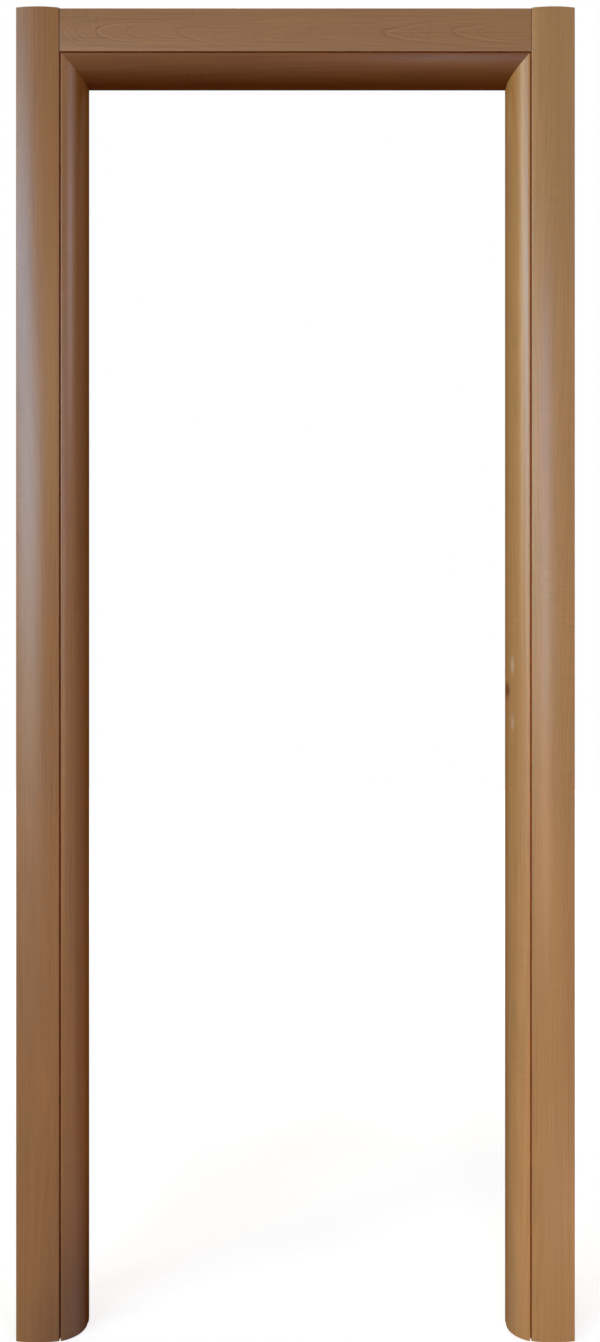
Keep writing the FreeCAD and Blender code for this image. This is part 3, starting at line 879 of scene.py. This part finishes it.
# The left leg and the edge of its casing are drawn darker towards the floor
dark_foot = (((-reveal, land_plane, 0), (1.0, 1.0, 300 * MM), DARKENING_TONE, 0.55),)
dark_casing_foot = (((-groove, front_low.y, 0), (75 * MM, 1.0, 150 * MM), DARKENING_TONE, 0.3),)

# Painted shade in the head casing's two butt joints: a dark line drawn along each
joints = tuple(
    ((side * front_head_high.x, front_low.y, TURN_HEIGHT), (1.6 * MM, 1.0, 1.0), DARKENING_TONE, 0.8)
    for side in (-1, 1)
)

# The veneer tones differ from member to member partly as veneers do and partly as painted light and
# shade: the left leg and the lining head are set darker for the shade they stand in, and the right leg
# and right casing lighter for the light they get
cherry = {
    "leg_left": cherry_veneer(
        "cherry veneer, left leg", 1.0, "#935d28",
        matt_from=("X", reveal, 0.5), marks=groove_painted_bounce + dark_foot,
    ),
    "leg_right": cherry_veneer(
        "cherry veneer, right leg", 2.0, "#b37d46",
        matt_from=("X", reveal, 0.5), marks=handle_shadow_and_reflections + groove_painted_bounce,
    ),
    "leg_head": cherry_veneer(
        "cherry veneer, lining head", 3.0, "#7c4821", overhead=True,
        matt_from=("Z", clear_height, 0.2), marks=head_groove_painted_bounce,
    ),
    "front_left": cherry_veneer(
        "cherry veneer, left casing", 4.0, "#945e2b", marks=groove_painted_bounce + dark_casing_foot
    ),
    "front_right": cherry_veneer("cherry veneer, right casing", 5.0, "#a97742", marks=groove_painted_bounce),
    "front_head": cherry_veneer(
        "cherry veneer, head casing", 6.0, "#976539", overhead=True, crown_cut=True,
        marks=joints + head_groove_painted_bounce,
    ),
    "rear_left": cherry_veneer("cherry veneer, rear left casing", 7.0, "#996938"),
    "rear_right": cherry_veneer("cherry veneer, rear right casing", 8.0, "#9f703c"),
    "rear_head": cherry_veneer("cherry veneer, rear head casing", 9.0, "#976539", overhead=True),
}
fibreboard = raw_fibreboard()
blockboard = raw_blockboard()

# The other pieces keep their CAD shapes and get these finishes. Each name is the start of their
# nodes' names, and the first that fits is taken.
node_finishes = {
    "seal": soft_seal(),
    "strike_plate": plain_metal("satin nickel plated steel, keep", "#b3aea4", 0.32),
    "strike_screws": plain_metal("nickel plated screws", "#bdb8ae", 0.28),
    "hinge_washer": plain_metal("turned brass washer", "#c49a4a", 0.3),
    "hinge": plain_metal("turned nickel plated hinge steel", "#b8b4ab", 0.26, (math.pi / 2, 0, 0)),
    "corner_bracket": plain_metal("galvanised sheet steel", "#a9aeb2", 0.45),
    "bracket_screws": plain_metal("yellow zinc screws", "#c8b483", 0.35),
    "corner_dowels": beech(),
}
for node_name, node_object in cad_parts.items():
    for start, finish in node_finishes.items():
        if node_name.startswith(start):
            node_object.data.materials.clear()
            node_object.data.materials.append(finish)
            break

leg("lining_left", "jamb_left", LEFT, (cherry["leg_left"], blockboard), fixing_tools(-1))
right_tools = fixing_tools(1) + keep_tools()
leg("lining_right", "jamb_right", RIGHT, (cherry["leg_right"], blockboard), right_tools)
lining_head("lining_head", "head_jamb", (cherry["leg_head"], blockboard))
casing_set("front", (front_inner, front_outer, WALL_FRONT, -1, front_tongue_tip), front_head_high.x)
casing_set("rear", (rear_inner, rear_outer, WALL_REAR, 1, rear_tongue_tip), rear_head_high.x)


# Studio: floor, surroundings, lamps and camera

# How strongly the surroundings light the frame, from behind it and from in front
BEHIND = 1.0
IN_FRONT = 0.04
FLOOR_SIZE = 14.0
FLOOR_GLOW = 0.7
GLOW_RISES = (0.7, 3.0)
NEUTRAL = "#fff4e6"


def studio_floor():
    bm = bmesh.new()
    bmesh.ops.create_grid(bm, x_segments=1, y_segments=1, size=FLOOR_SIZE / 2)
    mesh = bpy.data.meshes.new("studio_floor")
    bm.to_mesh(mesh)
    bm.free()
    floor = bpy.data.objects.new("studio_floor", mesh)
    bpy.context.scene.collection.objects.link(floor)
    finish, tree, output = new_finish("pale painted studio floor")
    path = put(tree, "LightPath")
    seen = put(
        tree, "Math", {0: path.outputs["Is Camera Ray"], 1: path.outputs["Is Glossy Ray"]},
        operation="MAXIMUM",
    )
    seen = put(
        tree, "Math", {0: seen.outputs[0], 1: path.outputs["Is Transmission Ray"]}, operation="MAXIMUM"
    )
    paint = put(tree, "BsdfDiffuse", {"Color": linear("#9a8468")})
    lifted = put(tree, "BsdfDiffuse", {"Color": linear("#c8c8c8")})
    # Near the feet lamplight and glow together make the floor about white, and a shadow stays;
    # farther out the glow rises to full white, so no horizon shows
    away = put(tree, "VectorMath", {0: put(tree, "TexCoord").outputs["Object"]}, operation="LENGTH")
    strength = put(
        tree, "MapRange",
        {"Value": away.outputs["Value"], "From Min": GLOW_RISES[0], "From Max": GLOW_RISES[1],
         "To Min": FLOOR_GLOW, "To Max": 1.0},
    )
    glow = put(tree, "Emission", {"Color": (1, 1, 1, 1), "Strength": strength.outputs[0]})
    white = put(tree, "AddShader", {0: lifted.outputs[0], 1: glow.outputs[0]})
    mix = put(tree, "MixShader", {0: seen.outputs[0], 1: paint.outputs[0], 2: white.outputs[0]})
    tree.links.new(mix.outputs[0], output.inputs["Surface"])
    mesh.materials.append(finish)


def surroundings():
    """White for the camera, for mirrors and for glass; dim and slightly warm as light on the frame."""
    world = bpy.data.worlds.new("studio surroundings")
    bpy.context.scene.world = world
    world.use_nodes = True
    tree = world.node_tree
    tree.nodes.clear()
    output = put(tree, "OutputWorld")
    path = put(tree, "LightPath")
    direction = put(tree, "SeparateXYZ", {"Vector": put(tree, "TexCoord").outputs["Generated"]})
    shiny = put(
        tree, "Math", {0: path.outputs["Is Glossy Ray"], 1: path.outputs["Is Transmission Ray"]},
        operation="MAXIMUM",
    )
    white_share = put(
        tree, "Math", {0: path.outputs["Is Camera Ray"], 1: shiny.outputs[0]}, operation="MAXIMUM"
    )
    facing = put(
        tree, "MapRange",
        {"Value": direction.outputs["Y"], "From Min": 0.4, "From Max": 0.95,
         "To Min": 0.0, "To Max": BEHIND},
        interpolation_type="SMOOTHSTEP",
    )
    ambient = put(
        tree, "Background", {"Color": linear("#fff2e2"), "Strength": facing.outputs["Result"]}
    )
    ahead = put(
        tree, "MapRange",
        {"Value": direction.outputs["Y"], "From Min": 0.0, "From Max": -1.0,
         "To Min": 0.0, "To Max": IN_FRONT},
    )
    room = put(tree, "Background", {"Color": linear("#ffa066"), "Strength": ahead.outputs["Result"]})
    ambient = put(tree, "AddShader", {0: ambient.outputs[0], 1: room.outputs[0]})
    white = put(tree, "Background", {"Color": (1, 1, 1, 1), "Strength": 1.0})
    mix = put(
        tree, "MixShader", {0: white_share.outputs[0], 1: ambient.outputs[0], 2: white.outputs[0]}
    )
    tree.links.new(mix.outputs[0], output.inputs["Surface"])


def area_lamp(name, place, target, size, power, code, glints=True):
    """A soft lamp; one without glints lights the veneer but isn't mirrored in its lacquer."""
    data = bpy.data.lights.new(name, "AREA")
    data.shape = "RECTANGLE"
    data.size, data.size_y = size
    data.energy = power
    data.color = linear(code)[:3]
    lamp = bpy.data.objects.new(name, data)
    lamp.location = place
    lamp.visible_glossy = glints
    lamp.rotation_euler = (Vector(target) - Vector(place)).to_track_quat("-Z", "Y").to_euler()
    bpy.context.scene.collection.objects.link(lamp)


def from_frame(azimuth, elevation, distance):
    """A place in front of the frame: azimuth to the right of straight out, both in degrees."""
    side = math.radians(azimuth)
    rise = math.radians(elevation)
    level = distance * math.cos(rise)
    return (level * math.sin(side), -level * math.cos(side), EYE_HEIGHT + distance * math.sin(rise))


studio_floor()
surroundings()
# Places, powers and tints were fitted to the photograph's colours, so the tints are strong ones
area_lamp("low part of the left window", from_frame(-26, 8, 10), MIDDLE, (4.2, 2.1), 262, "#c6e4ff")
area_lamp("high part of the left window", from_frame(-38, 20, 10), MIDDLE, (4.2, 2.1), 262, "#9bd6ff")
area_lamp("end of the left window", from_frame(-57, 20, 10), MIDDLE, (2.1, 6.3), 232, "#fbfce1")
area_lamp("sill of the left window", from_frame(-26, -4, 10), MIDDLE, (4.2, 2.1), 80, "#eefff0")
area_lamp("far window on the right", from_frame(56, 20, 10), MIDDLE, (3.6, 2.4), 118, "#f3e4ff")
area_lamp("soft lamp overhead", (-0.24, -3.49, 2.3), (0, 0, 1.1), (1.0, 0.9), 9.2, "#ffdfa6")
area_lamp(
    "panel facing the lock side, high", (0.4, -1.5, 1.8), (0.4, 0, 1.8), (0.2, 0.6), 3.4, "#84b4ff",
)
area_lamp(
    "panel facing the lock side, middle", (0.4, -1.5, 1.2), (0.4, 0, 1.2), (0.2, 0.6), 3.1, "#cdeaff",
)
area_lamp(
    "panel facing the lock side, low", (0.4, -1.5, 0.6), (0.4, 0, 0.6), (0.2, 0.6), 2.8, "#ffc09c",
)
area_lamp("soft lamp behind", (0, 6, 3.2), MIDDLE, (2.5, 1.5), 45, NEUTRAL)
# Weak lamps for the sides that the camera doesn't see, set back so that little of their light
# reaches the front faces
area_lamp("soft lamp beside the left leg", (-3, 0.3, 1.1), MIDDLE, (0.3, 2.2), 14, NEUTRAL)
area_lamp("soft lamp beside the right leg", (3, 0.3, 1.1), MIDDLE, (0.3, 2.2), 14, NEUTRAL)
area_lamp("soft lamp above", (0, 0.3, 5.2), MIDDLE, (1.6, 0.3), 16, NEUTRAL)
area_lamp(
    "light off the floor at the lock side", (0.56, -0.5, 0.06), (0.43, 0, 0.03), (0.3, 0.2), 0.55,
    "#ffffff", glints=False,
)

PHOTO_WIDTH = 600
PHOTO_HEIGHT = 1342
FOCAL_PIXELS = 1195
EYE_PIXEL = (349.6, 634.7)
SENSOR = 36

camera_data = bpy.data.cameras.new("camera")
camera_data.sensor_width = SENSOR
camera_data.lens = FOCAL_PIXELS / PHOTO_HEIGHT * SENSOR
camera_data.shift_x = (PHOTO_WIDTH / 2 - EYE_PIXEL[0]) / PHOTO_HEIGHT
camera_data.shift_y = (EYE_PIXEL[1] - PHOTO_HEIGHT / 2) / PHOTO_HEIGHT
camera = bpy.data.objects.new("camera", camera_data)
camera.location = (EYE_SIDE, land_plane - EYE_DISTANCE, EYE_HEIGHT)
camera.rotation_euler = (math.pi / 2, 0, 0)
bpy.context.scene.collection.objects.link(camera)
bpy.context.scene.camera = camera
bpy.context.scene.view_settings.view_transform = "Standard"
